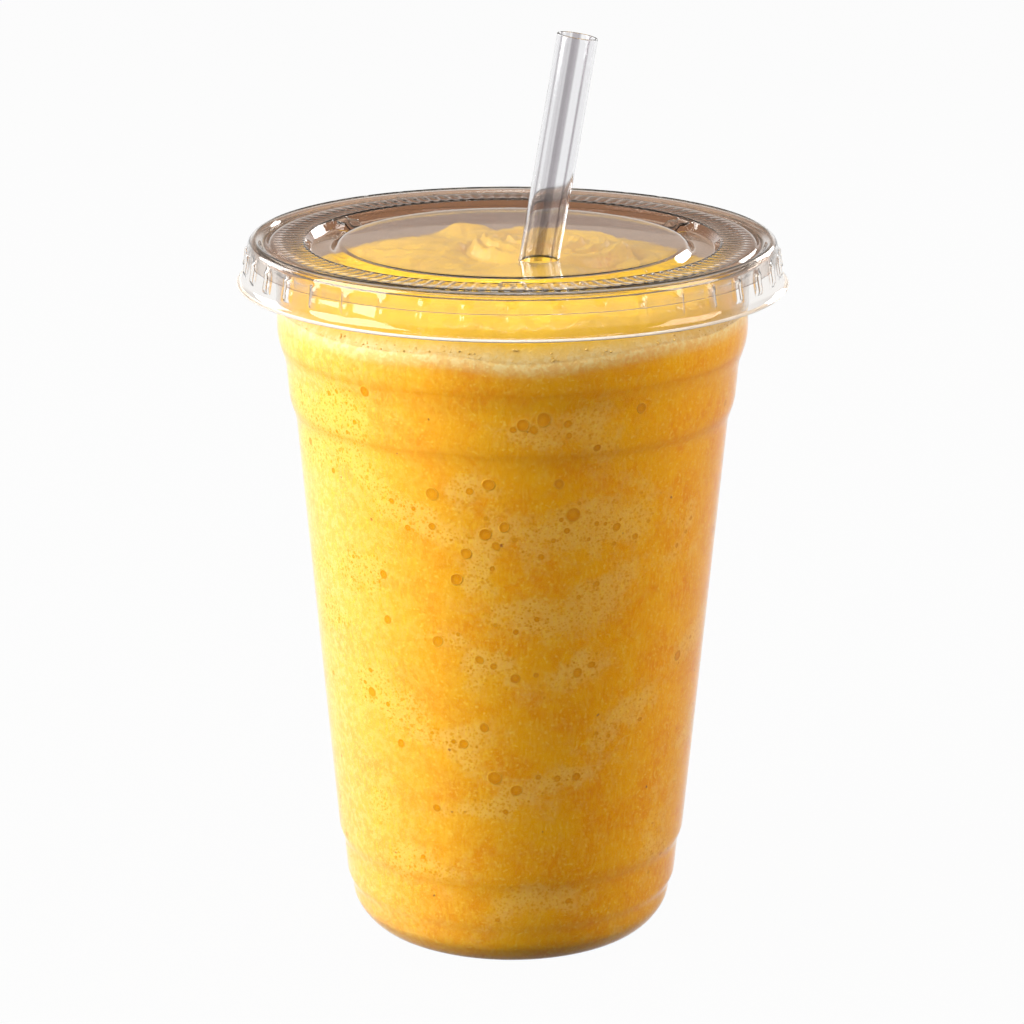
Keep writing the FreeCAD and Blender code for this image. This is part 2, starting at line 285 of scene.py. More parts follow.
def read_mask(tree, name):
    """A piece's own mask, from 0 to 1, by its attribute's name."""
    return add_node(tree, "ShaderNodeAttribute", attribute_name=name).outputs["Fac"]


def new_group(name, inputs, outputs):
    """An empty shader node group: inputs are (name, kind, default), outputs (name, kind)."""
    tree = bpy.data.node_groups.new(name, "ShaderNodeTree")
    for label, kind, default in inputs:
        socket = tree.interface.new_socket(label, in_out="INPUT", socket_type=kind)
        socket.default_value = default
    for label, kind in outputs:
        tree.interface.new_socket(label, in_out="OUTPUT", socket_type=kind)
    return tree, tree.nodes.new("NodeGroupInput"), tree.nodes.new("NodeGroupOutput")


def use_group(tree, group, **values):
    """A shader node group placed in a tree, with its inputs set by name."""
    made = tree.nodes.new("ShaderNodeGroup")
    made.node_tree = group
    for key, value in values.items():
        label = key.replace("_", " ")
        if isinstance(value, bpy.types.NodeSocket):
            tree.links.new(value, made.inputs[label])
        else:
            made.inputs[label].default_value = value
    return made


def make_pulp_group():
    """Blended fruit: cloudy patches, mottling, tiny bright specks that are partly grain and partly
    painted glints, and short pale streaks that are partly pulp fibre and partly painted glints of
    condensation, as masks.
    """
    tree, given, result = new_group(
        "fruit pulp",
        [("Cloud Size", "NodeSocketFloat", 90.0), ("Mottle Size", "NodeSocketFloat", 480.0),
         ("Grain Size", "NodeSocketFloat", 2300.0)],
        [("Clouds", "NodeSocketFloat"), ("Mottle", "NodeSocketFloat"), ("Dots And Glints", "NodeSocketFloat"),
         ("Fibres And Glints", "NodeSocketFloat"), ("Height", "NodeSocketFloat")],
    )
    where = add_node(tree, "ShaderNodeTexCoord").outputs["Object"]
    clouds = add_node(tree, "ShaderNodeTexNoise", {
        "Vector": where, "Scale": given.outputs["Cloud Size"], "Detail": 3.0,
        "Roughness": 0.62}).outputs["Fac"]
    mottle = add_node(tree, "ShaderNodeTexNoise", {
        "Vector": where, "Scale": given.outputs["Mottle Size"], "Detail": 3.0,
        "Roughness": 0.75}).outputs["Fac"]
    grain = add_node(tree, "ShaderNodeTexNoise", {
        "Vector": where, "Scale": given.outputs["Grain Size"], "Detail": 1.0,
        "Roughness": 0.6}).outputs["Fac"]
    lean = add_node(tree, "ShaderNodeMapping", {
        "Vector": where, "Rotation": (0.5, 0.6, 0.3), "Scale": (1900.0, 1900.0, 420.0)})
    fibres_and_glints = add_node(tree, "ShaderNodeTexNoise", {
        "Vector": lean.outputs[0], "Scale": 1.0, "Detail": 1.0}).outputs["Fac"]
    height = add_math(tree, "ADD", add_math(tree, "MULTIPLY", grain, 0.6), mottle)
    for label, socket in (("Clouds", add_range(tree, clouds, 0.32, 0.68)),
                          ("Mottle", add_range(tree, mottle, 0.38, 0.66)),
                          ("Dots And Glints", add_range(tree, grain, 0.6, 0.7)),
                          ("Fibres And Glints", add_range(tree, fibres_and_glints, 0.54, 0.68)),
                          ("Height", height)):
        tree.links.new(socket, result.inputs[label])
    return tree


def make_haze_group():
    """Slight unevenness of thin moulded plastic, as a roughness and a height."""
    tree, given, result = new_group(
        "moulded plastic haze",
        [("Clearest", "NodeSocketFloat", 0.02), ("Haziest", "NodeSocketFloat", 0.08),
         ("Size", "NodeSocketFloat", 120.0)],
        [("Roughness", "NodeSocketFloat"), ("Height", "NodeSocketFloat")],
    )
    where = add_node(tree, "ShaderNodeTexCoord").outputs["Object"]
    patches = add_node(tree, "ShaderNodeTexNoise", {
        "Vector": where, "Scale": given.outputs["Size"], "Detail": 1.0}).outputs["Fac"]
    share = add_range(tree, patches, 0.4, 0.75)
    spread = add_math(tree, "SUBTRACT", given.outputs["Haziest"], given.outputs["Clearest"])
    rough = add_math(tree, "ADD", given.outputs["Clearest"], add_math(tree, "MULTIPLY", share, spread))
    tree.links.new(rough, result.inputs["Roughness"])
    tree.links.new(patches, result.inputs["Height"])
    return tree


def make_clear_plastic(name, haze, tints_and_reflections, refraction, surface_values):
    """Clear plastic with a plain tint, a darker colour where seen edge-on that is partly the longer
    path through the plastic and partly a painted reflection of dark surroundings, and a painted brown
    reflection where its inner face is seen.
    """
    plain, edge_on_tint_and_reflection, far_side_reflection = tints_and_reflections
    material, tree = empty_material(name)
    facing = add_node(tree, "ShaderNodeLayerWeight", {"Blend": 0.5}).outputs["Facing"]
    inner = read_mask(tree, "inner")
    leaving = add_node(tree, "ShaderNodeNewGeometry").outputs["Backfacing"]
    seen_inside = add_math(tree, "MULTIPLY", inner, add_math(tree, "SUBTRACT", 1.0, leaving))
    # Darker where seen edge-on: partly the longer path through the plastic, partly a painted
    # reflection of dark surroundings.
    colour = add_mix(tree, add_range(tree, facing, 0.1, 1.0), plain, edge_on_tint_and_reflection)
    # Painted reflection: brown where the inner face of the far side is seen.
    colour = add_mix(tree, seen_inside, colour, far_side_reflection)
    finish_plastic(tree, haze, colour, plain, refraction, surface_values)
    return material


def finish_plastic(tree, haze, colour, tint, refraction, surface_values):
    """The clear surface, slightly uneven, and the way lamplight passes through it."""
    clearest, haziest, bump = surface_values
    surface = use_group(tree, haze, Clearest=clearest, Haziest=haziest, Size=160.0)
    normal = add_node(tree, "ShaderNodeBump", {
        "Strength": bump, "Distance": 0.0002, "Height": surface.outputs["Height"]}).outputs[0]
    plastic = add_node(tree, "ShaderNodeBsdfPrincipled", {
        "Base Color": colour, "Roughness": surface.outputs["Roughness"], "IOR": refraction,
        "Transmission Weight": 1.0, "Normal": normal})
    lamplight = add_node(tree, "ShaderNodeBsdfTransparent", {"Color": tint})
    ray = add_node(tree, "ShaderNodeLightPath")
    mix = add_node(tree, "ShaderNodeMixShader", {
        0: ray.outputs["Is Shadow Ray"], 1: plastic.outputs[0], 2: lamplight.outputs[0]})
    add_node(tree, "ShaderNodeOutputMaterial", {"Surface": mix.outputs[0]})


def make_edge_material(haze):
    """The lid's trimmed edge, which is frosted and nearly white."""
    material, tree = empty_material("frosted_cut_edge")
    surface = use_group(tree, haze, Clearest=0.35, Haziest=0.55, Size=160.0)
    edge = add_node(tree, "ShaderNodeBsdfPrincipled", {
        "Base Color": rgb(236, 228, 218), "Roughness": surface.outputs["Roughness"], "IOR": 1.38})
    add_node(tree, "ShaderNodeOutputMaterial", {"Surface": edge.outputs[0]})
    return material


def make_straw_plastic(haze):
    """Clear drawn plastic with faint grey bands along it, which are painted reflections of the
    surroundings.
    """
    material, tree = empty_material("clear_straw_plastic")
    tint = rgb(232, 230, 234)
    reflection_band = read_mask(tree, "reflection_band")
    # Grey where the painted reflection bands are.
    colour = add_mix(tree, reflection_band, rgb(250, 250, 251), rgb(170, 164, 168))
    finish_plastic(tree, haze, colour, tint, 1.4, (0.03, 0.08, 0.05))
    return material


def make_froth_group():
    """Froth seen through a wall: a ragged pale film broken by round pinholes, as two masks."""
    tree, given, result = new_group(
        "froth film",
        [("Amount", "NodeSocketFloat", 0.5), ("Edge Size", "NodeSocketFloat", 420.0),
         ("Cells", "NodeSocketFloat", 800.0)],
        [("Film", "NodeSocketFloat"), ("Pinholes", "NodeSocketFloat")],
    )
    where = add_node(tree, "ShaderNodeTexCoord").outputs["Object"]
    rough = add_node(tree, "ShaderNodeTexNoise", {
        "Vector": where, "Scale": given.outputs["Edge Size"], "Detail": 4.0,
        "Roughness": 0.78}).outputs["Fac"]
    uneven = add_range(tree, rough, 0.25, 0.75, -0.5, 0.5)
    ragged = add_math(tree, "ADD", given.outputs["Amount"], uneven)
    film = add_range(tree, ragged, 0.05, 1.1)
    holes = None
    for finer, reach in ((1.0, 0.3), (2.1, 0.34)):
        scale = add_math(tree, "MULTIPLY", given.outputs["Cells"], finer)
        cells = add_node(tree, "ShaderNodeTexVoronoi", {
            "Vector": where, "Scale": scale, "Randomness": 1.0}).outputs["Distance"]
        spots = add_range(tree, cells, reach * 0.6, reach * 1.15, 1.0, 0.0)
        holes = spots if holes is None else add_math(tree, "MAXIMUM", holes, spots)
    open_film = add_range(tree, given.outputs["Amount"], 0.1, 0.7)
    holes = add_math(tree, "MULTIPLY", holes, open_film)
    tree.links.new(film, result.inputs["Film"])
    tree.links.new(holes, result.inputs["Pinholes"])
    return tree


def make_smoothie_material(pulp, froth_film):
    """Golden smoothie with paler froth where its froth attribute is high, and a wet top."""
    material, tree = empty_material("pineapple_smoothie")
    fruit = use_group(tree, pulp, Cloud_Size=110.0, Mottle_Size=620.0, Grain_Size=1600.0)
    froth, foam, top = (read_mask(tree, name) for name in ("froth", "foam", "top"))
    side, ridge = read_mask(tree, "pale"), read_mask(tree, "ridge")
    ridge_shade_line = add_math(tree, "POWER", ridge, 6.0)
    film = use_group(tree, froth_film, Amount=froth, Edge_Size=420.0, Cells=800.0)
    mottle, dots_and_glints, fibres_and_glints = (fruit.outputs[name] for name in ("Mottle", "Dots And Glints", "Fibres And Glints"))
    layers = [
        (add_math(tree, "MULTIPLY", mottle, 0.4), rgb(253, 198, 16)),
        (add_math(tree, "MULTIPLY", top, 0.75), rgb(240, 206, 64)),
        # Paler on the left by the pale mask: partly froth film, partly a painted sheen of the key
        # lamp.
        (add_math(tree, "MULTIPLY", side, add_range(tree, mottle, 0.0, 1.0, 0.45, 0.85)),
         rgb(250, 215, 142)),
        (add_math(tree, "MULTIPLY", film.outputs["Film"], 0.62), rgb(252, 208, 100)),
        # Tiny bright points: partly grain, partly painted glints.
        (add_math(tree, "MULTIPLY", dots_and_glints, 0.6), rgb(255, 216, 84)),
        # Short pale streaks: partly pulp fibre, partly painted glints of condensation on the cup.
        (add_math(tree, "MULTIPLY", fibres_and_glints, 0.42), rgb(252, 203, 60)),
        (add_math(tree, "MULTIPLY", film.outputs["Pinholes"], 0.7), rgb(234, 158, 4)),
        # Painted shade: a darker gold line along each step of the cup's wall.
        (add_math(tree, "MULTIPLY", ridge_shade_line, 0.55), rgb(226, 146, 0)),
        (add_math(tree, "MULTIPLY", foam, add_range(tree, mottle, 0.0, 1.0, 0.6, 1.0)),
         rgb(255, 236, 172)),
    ]
    colour = add_mix(tree, fruit.outputs["Clouds"], rgb(241, 157, 0), rgb(247, 177, 2))
    for share, layer in layers:
        colour = add_mix(tree, share, colour, layer)
    rough = add_range(tree, top, 0.0, 1.0, 0.6, 0.3)
    coat = add_math(tree, "MULTIPLY", top, 0.5)
    bump = add_node(tree, "ShaderNodeBump", {
        "Strength": 0.5, "Distance": 0.0002, "Height": fruit.outputs["Height"]}).outputs[0]
    body = add_node(tree, "ShaderNodeBsdfPrincipled", {
        "Base Color": colour, "Roughness": rough, "IOR": 1.36, "Specular IOR Level": 0.05,
        "Coat Weight": coat, "Coat Roughness": 0.12, "Normal": bump})
    add_node(tree, "ShaderNodeOutputMaterial", {"Surface": body.outputs[0]})
    return material


def make_bubble_material(pulp):
    """Air bubbles against the wall: darker gold inside, with a soft pale skin at the rim."""
    material, tree = empty_material("smoothie_bubbles")
    fruit = use_group(tree, pulp, Cloud_Size=300.0, Mottle_Size=900.0, Grain_Size=2600.0)
    rim = read_mask(tree, "rim")
    inner, outer, skin = rgb(234, 160, 8), rgb(224, 144, 4), rgb(248, 202, 70)
    colour = add_mix(tree, add_range(tree, rim, 0.1, 0.85), inner, outer)
    light = add_math(tree, "MULTIPLY", fruit.outputs["Clouds"], 0.3)
    colour = add_mix(tree, light, colour, rgb(244, 186, 44))
    colour = add_mix(tree, add_range(tree, rim, 0.8, 1.1, 0.0, 0.6), colour, skin)
    body = add_node(tree, "ShaderNodeBsdfPrincipled", {
        "Base Color": colour, "Roughness": 0.5, "IOR": 1.36, "Specular IOR Level": 0.1})
    add_node(tree, "ShaderNodeOutputMaterial", {"Surface": body.outputs[0]})
    return material


def make_speck_material(pulp):
    """Small brown bits of pineapple eye and core."""
    material, tree = empty_material("fruit_specks")
    fruit = use_group(tree, pulp, Cloud_Size=700.0, Mottle_Size=1500.0, Grain_Size=3000.0)
    colour = add_mix(tree, fruit.outputs["Clouds"], rgb(170, 96, 10), rgb(204, 132, 20))
    body = add_node(tree, "ShaderNodeBsdfPrincipled", {"Base Color": colour, "Roughness": 0.55})
    add_node(tree, "ShaderNodeOutputMaterial", {"Surface": body.outputs[0]})
    return material


def make_foam_material(pulp):
    """Pale froth beads along the edge of the drink."""
    material, tree = empty_material("froth_beads")
    fruit = use_group(tree, pulp, Cloud_Size=500.0, Mottle_Size=1200.0, Grain_Size=2500.0)
    colour = add_mix(tree, fruit.outputs["Clouds"], rgb(248, 208, 100), rgb(252, 224, 140))
    body = add_node(tree, "ShaderNodeBsdfPrincipled", {
        "Base Color": colour, "Roughness": 0.18, "IOR": 1.36, "Coat Weight": 0.4})
    add_node(tree, "ShaderNodeOutputMaterial", {"Surface": body.outputs[0]})
    return material


# ---- The cup -------------------------------------------------------------------------------------

CUP_OUTSIDE = [
    (0, 3.2), (22.6, 3.2, 1.2), (24.6, 0.6, 1.0), (25.6, 0, 0.6), (28.0, 0, 2.6),
    (30.8, 3.6, 2.6), (31.2, 7.0, 0.8), (32.1, 9.0, 0.8), (32.7, 16.0, 0.8), (33.6, 18.4, 0.8),
    (40.8, 100.8, 1.2), (42.0, 104.2, 1.4), (42.6, 111.6, 1.4), (44.1, 116.0, 2.0),
    (44.15, 128.6, 1.6), (46.6, 131.2, 1.0), (46.9, 132.9, 0.8),
]


def cup_wall_line():
    """The cup's outer face from the middle of the floor to the curl, and the inner face back."""
    outside = rounded(CUP_OUTSIDE)
    return outside, moved_in(outside, CUP_WALL)


def make_cup(material):
    """The thin cup with its steps, recessed floor and rolled rim."""
    outside, inside = cup_wall_line()
    line = outside[:-1] + curl_section(outside[-1]) + inside[::-1]
    rings = [(max(p.x, 0), p.y, 0, 0) for p in line[1:-1]]
    columns = ROUND_SEGMENTS // 2
    points = turned(rings, columns)
    inner = np.repeat(np.arange(len(rings)) > len(rings) - len(inside), columns)
    return close_with_poles("clear_cup", points, len(rings), columns, line[0].y, line[-1].y,
                            material,
                            {"inner": np.append(inner, [0, 1]).astype(np.float32)})


CURL_RADIUS, CURL_DROP = 1.0, 3.0
CURL_TURN, CURL_STEP = 160, 20


def curl_section(start):
    """The rim's roll seen in section: out from the outer face, over the top and back inside."""
    middle = Vector((RIM_RADIUS - CURL_RADIUS, CUP_HEIGHT - CURL_RADIUS))
    ways = [Vector((math.cos(math.radians(degrees)), math.sin(math.radians(degrees))))
            for degrees in range(0, CURL_TURN + 1, CURL_STEP)]
    inner = [middle + way * (CURL_RADIUS - CUP_WALL) for way in ways[::-1]]
    outer = [middle + way * CURL_RADIUS for way in ways]
    lip_low = CUP_HEIGHT - CURL_DROP
    down = [Vector((RIM_RADIUS - CUP_WALL, lip_low)), Vector((RIM_RADIUS, lip_low))]
    return [start] + inner + down + outer


def close_with_poles(name, points, rows, columns, low_height, high_height, material,
                     attributes=None):
    """A closed piece from rings whose first and last are shut by a fan to the axis."""
    faces = ring_faces(rows, columns)
    low_pole, high_pole = len(points), len(points) + 1
    points = np.concatenate([points, [[0, 0, low_height], [0, 0, high_height]]])
    last = (rows - 1) * columns
    for column in range(columns):
        after = (column + 1) % columns
        faces.append((low_pole, after, column))
        faces.append((high_pole, last + column, last + after))
    return add_mesh(name, points, faces, material, attributes)


# ---- The lid -------------------------------------------------------------------------------------

LID_TOP = [
    (FLANGE_RADIUS - 0.05, 126.25), (50.15, 127.1, 1.0), (49.8, 129.4, 1.2), (49.45, 131.0, 1.0),
    (49.4, 133.6, 1.2), (48.4, 134.5, 1.0), (47.6, 134.5, 0.8), (46.5, 133.35, 0.5),
    (45.8, 133.35, 0.5), (45.1, TOP_HEIGHT, 0.5), (38.75, TOP_HEIGHT, 0.35),
    (37.6, 132.0, 0.4), (33.8, 132.0, 0.5), (32.3, PANEL_HEIGHT, 0.6), (30.5, PANEL_HEIGHT),
]
LID_LONGEST_RUN = 1.6
PANEL_RINGS, PANEL_CROWDING = 6, 0.7
CUT_EDGE = 0.22
CUT_EDGE_SHARE = 0.3
SKIRT_INSIDE, SKIRT_OUTSIDE = 48.4, 48.6


def lid_shape(radius, height, theta):
    """How far the flutes, skirt ribs and channel lugs move a point out and up."""
    out = np.zeros_like(theta)
    up = np.zeros_like(theta)
    in_flutes = smooth_step(radius, FLUTE_INNER, FLUTE_INNER + FLUTE_END)
    in_flutes = in_flutes * (1 - smooth_step(radius, FLUTE_OUTER - FLUTE_END, FLUTE_OUTER))
    up -= FLUTE_DEPTH * in_flutes * (0.5 - 0.5 * np.cos(theta * FLUTES))
    if radius > SKIRT_OUTSIDE:
        along_skirt = smooth_step(height, RIB_LOW - RIB_LOW_END, RIB_LOW)
        along_skirt = along_skirt * (1 - smooth_step(height, RIB_HIGH - RIB_HIGH_END, RIB_HIGH))
        near = np.abs(turn_between(theta * RIBS, 0)) / RIBS * radius
        across = 1 - smooth_step(near, RIB_HALF_WIDTH, RIB_FOOT_HALF_WIDTH)
        out += RIB_DEPTH * along_skirt * across
    if LUG_INNER - LUG_SLOPE < radius < LUG_OUTER + LUG_SLOPE:
        in_lug = smooth_step(radius, LUG_INNER - LUG_SLOPE, LUG_INNER)
        in_lug = in_lug * (1 - smooth_step(radius, LUG_OUTER, LUG_OUTER + LUG_SLOPE))
        for angle in LUG_ANGLES:
            beside = np.abs(turn_between(theta, angle)) * radius
            across = 1 - smooth_step(beside, LUG_HALF_WIDTH - LUG_END_SLOPE, LUG_HALF_WIDTH)
            room = np.maximum(TOP_HEIGHT - LUG_UNDER_TOP - height, 0)
            up += in_lug * across * np.minimum(LUG_RISE, room)
    return out, up


def panel_rings(height):
    """Rings that go from the panel's edge in to the straw's hole."""
    edge_radius = LID_TOP[-1][0]
    rings = []
    for step in range(1, PANEL_RINGS + 1):
        t = (step / PANEL_RINGS) ** PANEL_CROWDING
        radius = edge_radius + (STRAW_HOLE_RADIUS - edge_radius) * t
        rings.append((radius, height, STRAW_HOLE_ALONG * t, STRAW_ACROSS * t))
    return rings


def make_lid(material, edge_material):
    """The lid as one thin closed shell with a hole for the straw and a frosted cut edge."""
    top = stepped(rounded(LID_TOP, 3), LID_LONGEST_RUN)
    top.insert(1, top[0] + (top[1] - top[0]).normalized() * CUT_EDGE)
    under = moved_in(top, LID_WALL)
    under[0] = top[0].lerp(under[0], CUT_EDGE_SHARE)
    rings = [(p.x, p.y, 0, 0) for p in top] + panel_rings(PANEL_HEIGHT)
    rings += panel_rings(PANEL_HEIGHT - LID_WALL)[::-1] + [(p.x, p.y, 0, 0) for p in under[::-1]]
    points = turned(rings, ROUND_SEGMENTS, lid_shape)
    faces = ring_faces(len(rings), ROUND_SEGMENTS, closed=True)
    half = len(rings) // 2
    inside_skirt = [n >= half and ring[0] > SKIRT_INSIDE for n, ring in enumerate(rings)]
    inner = np.repeat(inside_skirt, ROUND_SEGMENTS).astype(np.float32)
    lid = add_mesh("clear_lid", points, faces, material, {"inner": inner})
    lid.data.materials.append(edge_material)
    for face in lid.data.polygons:
        face.material_index = int(face.center.z < top[1].y * MM)
    return lid


# ---- The straw -----------------------------------------------------------------------------------

# Soft grey bands in the straw, painted reflections of the surroundings, as (degrees to the right of
# the front, half width, depth).
STRAW_REFLECTION_BANDS = [(-44, 6, 0.9), (1, 16, 0.8), (28, 9, 0.35), (57, 6, 0.8), (165, 14, 0.3)]
# The faint painted grey all round the straw.
STRAW_GREY = 0.06


def straw_axis():
    """The straw's low end and direction, from the hole it goes through and its lean."""
    hole = Vector((STRAW_HOLE_ALONG, STRAW_ACROSS, PANEL_HEIGHT))
    way = Vector((math.sin(STRAW_LEAN), 0, math.cos(STRAW_LEAN)))
    side_rise = STRAW_RADIUS * math.sin(STRAW_LEAN)
    low = hole + way * ((straw_low.z + side_rise - hole.z) / way.z)
    high = hole + way * ((straw_high.z - side_rise - hole.z) / way.z)
    return low, high, way


def straw_reflection_bands(theta):
    """How dark the drawn plastic is painted round the straw as reflections: a few soft bands of their
    own width.
    """
    reflection_band = np.full_like(theta, STRAW_GREY)
    for degrees, half_width, depth in STRAW_REFLECTION_BANDS:
        away = np.abs(turn_between(theta, FRONT + math.radians(degrees)))
        edge = math.radians(half_width)
        reflection_band += depth * (1 - smooth_step(away, edge * 0.6, edge))
    return np.clip(reflection_band, 0, 1)


def make_straw(material):
    """A plain clear tube with slightly rounded ends."""
    low, high, way = straw_axis()
    length = (high - low).length
    inside = STRAW_RADIUS - STRAW_WALL
    end = STRAW_END_BEND
    line = [
        (inside, 2 * end), (inside, end), (inside + end, 0), (STRAW_RADIUS - end, 0),
        (STRAW_RADIUS, end), (STRAW_RADIUS, 2 * end), (STRAW_RADIUS, length - 2 * end),
        (STRAW_RADIUS, length - end), (STRAW_RADIUS - end, length), (inside + end, length),
        (inside, length - end), (inside, length - 2 * end),
    ]
    points = turned([(radius, height, 0, 0) for radius, height in line], STRAW_SEGMENTS)
    reflection_band = straw_reflection_bands(np.arctan2(points[:, 1], points[:, 0]))
    turn = way.to_track_quat("Z", "X").to_matrix()
    points = points @ np.array(turn).T + np.array(low)
    faces = ring_faces(len(line), STRAW_SEGMENTS, closed=True)
    return add_mesh("clear_straw", points, faces, material,
                    {"reflection_band": reflection_band.astype(np.float32)})


# ---- The smoothie --------------------------------------------------------------------------------

def contact_height(theta):
    """The height at which the drink's top meets the wall, dipping at the front."""
    height = CONTACT_HEIGHT + 0.16 * np.sin(3 * theta + 0.7) + 0.13 * np.sin(7 * theta + 2.1)
    height = height + 0.1 * np.sin(13 * theta + 0.4)
    for angle, width, depth in CONTACT_DIPS:
        away = turn_between(theta, FRONT + math.radians(angle))
        height = height - depth * np.exp(-(away / math.radians(width)) ** 2)
    return height


def saw(turns):
    """A wave that rises gently and falls off sharply once a turn, from 0 to 1."""
    share = turns - np.floor(turns)
    return smooth_step(share, 0.0, 0.82) * (1 - smooth_step(share, 0.88, 1.0))


def hill(x, y, reach_x, reach_y):
    """A soft hill, 1 in its middle and 0 well beyond its reach."""
    return np.exp(-((x / reach_x) ** 2 + (y / reach_y) ** 2))


def swirl(x, y):
    """The raised swirl right of the middle: a plateau with a groove round it and spiral folds."""
    across, along = x - SWIRL_CENTRE[0], y - SWIRL_CENTRE[1]
    distance = np.hypot(across, along * 1.05)
    angle = np.arctan2(along, across)
    edge = SWIRL_RADIUS + 1.6 * np.cos(angle + 0.3) + 0.5 * np.sin(3 * angle)
    plateau = 1.5 * (1 - smooth_step(distance, edge - 1.2, edge + 0.2))
    groove = 0.8 * np.exp(-((distance - edge - 0.7) / 0.9) ** 2)
    spiral = (edge - distance) / 4.7 - angle / FULL_TURN
    inside = 1 - smooth_step(distance, edge - 2.0, edge - 0.5)
    folds = inside * saw(-spiral) * smooth_step(distance, 2.5, 5.0)
    ripples = 0.12 * inside * np.sin(spiral * FULL_TURN * 3.0)
    return plateau - groove + folds + ripples


def folds_beside_swirl(x, y):
    """The bowed folds on the left, smaller ones on the right and in front, and a flap behind."""
    left_x, left_y = x + 22, y - 6
    left = hill(left_x, left_y, 11.5, 15)
    bow = left_y - 0.045 * left_x ** 2 + 0.45 * left_x
    bowed = left * (1.7 * saw(bow / 5.6 + 0.3) + 0.14 * np.sin(bow * 3.1))
    right = 1.0 * hill(x - 25, y + 2, 8, 17) * saw((x + 0.35 * y) / 7.5)
    front = 0.7 * hill(x + 4, y + 20, 20, 8) * saw((y + 0.3 * x) / 6.0 + 0.2)
    flap = 2.0 * hill(x + 9, y - 33 - 0.25 * x, 5.5, 2.0)
    return bowed + right + front + flap


def gentle_waves(x, y):
    """Shallow waves over the whole of the drink's top."""
    wide = 0.3 * np.sin(x * 0.31 + 1.2) * np.cos(y * 0.27 + 0.4)
    narrow = 0.1 * np.sin(x * 0.93 + y * 0.5) * np.cos(y * 0.81 - x * 0.4)
    return wide + narrow


def top_height(x, y, theta, wall):
    """The height of the smoothie's top at (x, y), with wall the radius of its edge there."""
    radius = np.hypot(x, y)
    mound = MOUND_HEIGHT - MOUND_FALL * radius ** 2
    mound = mound + swirl(x, y) + folds_beside_swirl(x, y) + gentle_waves(x, y)
    under_lid = PANEL_HEIGHT - LID_WALL - UNDER_PANEL
    to_straw = hill(x - STRAW_HOLE_ALONG, y - STRAW_ACROSS, STRAW_PULL, STRAW_PULL)
    mound = mound + (under_lid - mound) * to_straw
    rise = np.sin(np.clip((wall - radius) / EDGE_SLOPE, 0, 1) * math.pi / 2) ** 0.85
    level = contact_height(theta)
    return level + (mound - level) * rise


def wall_radius_at(height, inside):
    """The radius of the cup's inner face at a height."""
    heights = [p.y for p in inside]
    radii = [p.x for p in inside]
    return np.interp(height, heights, radii)


# Streaks of froth at the front, as (degrees to the right, height, half length, half width, slope).
FROTH_STREAKS = [
    (6, 108, 7.5, 2.8, 0.05), (-11, 97, 4.6, 3.2, 0.4), (-42, 97, 7, 3.4, -0.5),
    (-26, 90, 8, 3.2, -0.35), (-3, 88, 4.5, 2.2, 0.3), (-10, 81, 3.0, 6.0, 0.0),
    (4, 72, 9, 3.2, 0.0), (24, 89, 10, 5.5, 0.1), (27, 76, 8, 4.5, 0.5),
    (-11, 64, 10, 2.6, -0.35), (19, 60, 8, 2.8, 0.1), (-39, 53, 8, 4.5, -0.5),
    (-17, 47, 9, 2.8, 0.05), (3, 36.5, 18, 2.8, 0.32), (-52, 104, 8, 5.0, 0.0),
    (-45, 78, 7, 3.5, 0.2), (38, 50, 8, 4.0, 0.4), (-30, 20, 9, 3.0, 0.1), (12, 14, 9, 2.6, 0.0),
]
BACK_STREAKS = 30
# Where the drink is paler on the left: partly froth film, partly a painted sheen of the key lamp.
PALE_LIT_SIDE, PALE_LIT_REACH = FRONT - math.radians(78), 0.72


def all_streaks():
    """The streaks at the front and seeded ones round the rest of the cup."""
    dice = random.Random(5)
    streaks = list(FROTH_STREAKS)
    for _ in range(BACK_STREAKS):
        streaks.append((dice.uniform(62, 298), dice.uniform(14, 110), dice.uniform(5, 13),
                        dice.uniform(2.4, 4.5), dice.uniform(-0.5, 0.5)))
    return streaks


STREAKS = all_streaks()


def wobble(here, fineness, number):
    """Smooth noise round 0 at a point in millimetres; each number gives its own pattern."""
    return noise.noise(here * fineness + Vector((17.3, 5.9, 11.7)) * number)


def froth_at(x, y, z):
    """How frothy the drink is at a point on the wall, from 0 to about 1."""
    radius = math.hypot(x, y)
    theta = math.atan2(y, x)
    here = Vector((x, y, z))
    shift_along = wobble(here, 0.13, 1) * 3.0 + wobble(here, 0.5, 2) * 1.6
    shift_across = wobble(here, 0.13, 3) * 3.0 + wobble(here, 0.5, 4) * 1.6
    best = 0.0
    for degrees, height, long_half, wide_half, slope in STREAKS:
        along = turn_between(theta, FRONT + math.radians(degrees)) * radius + shift_along
        if abs(along) > long_half * 2.2:
            continue
        across = z - height - slope * along + shift_across
        best = max(best, math.exp(-(along / long_half) ** 2 - (across / wide_half) ** 2))
    patch = wobble(here, 0.07, 5) + 0.5 * wobble(here, 0.22, 6)
    return 0.95 * best + 0.8 * max(0.0, patch)


def top_lumps(x, y):
    """Small soft lumps over the whole of the drink's top."""
    here = Vector((x, y, 0))
    return wobble(here, 0.22, 7) * 0.45 + wobble(here, 0.6, 8) * 0.22 + wobble(here, 1.4, 9) * 0.08


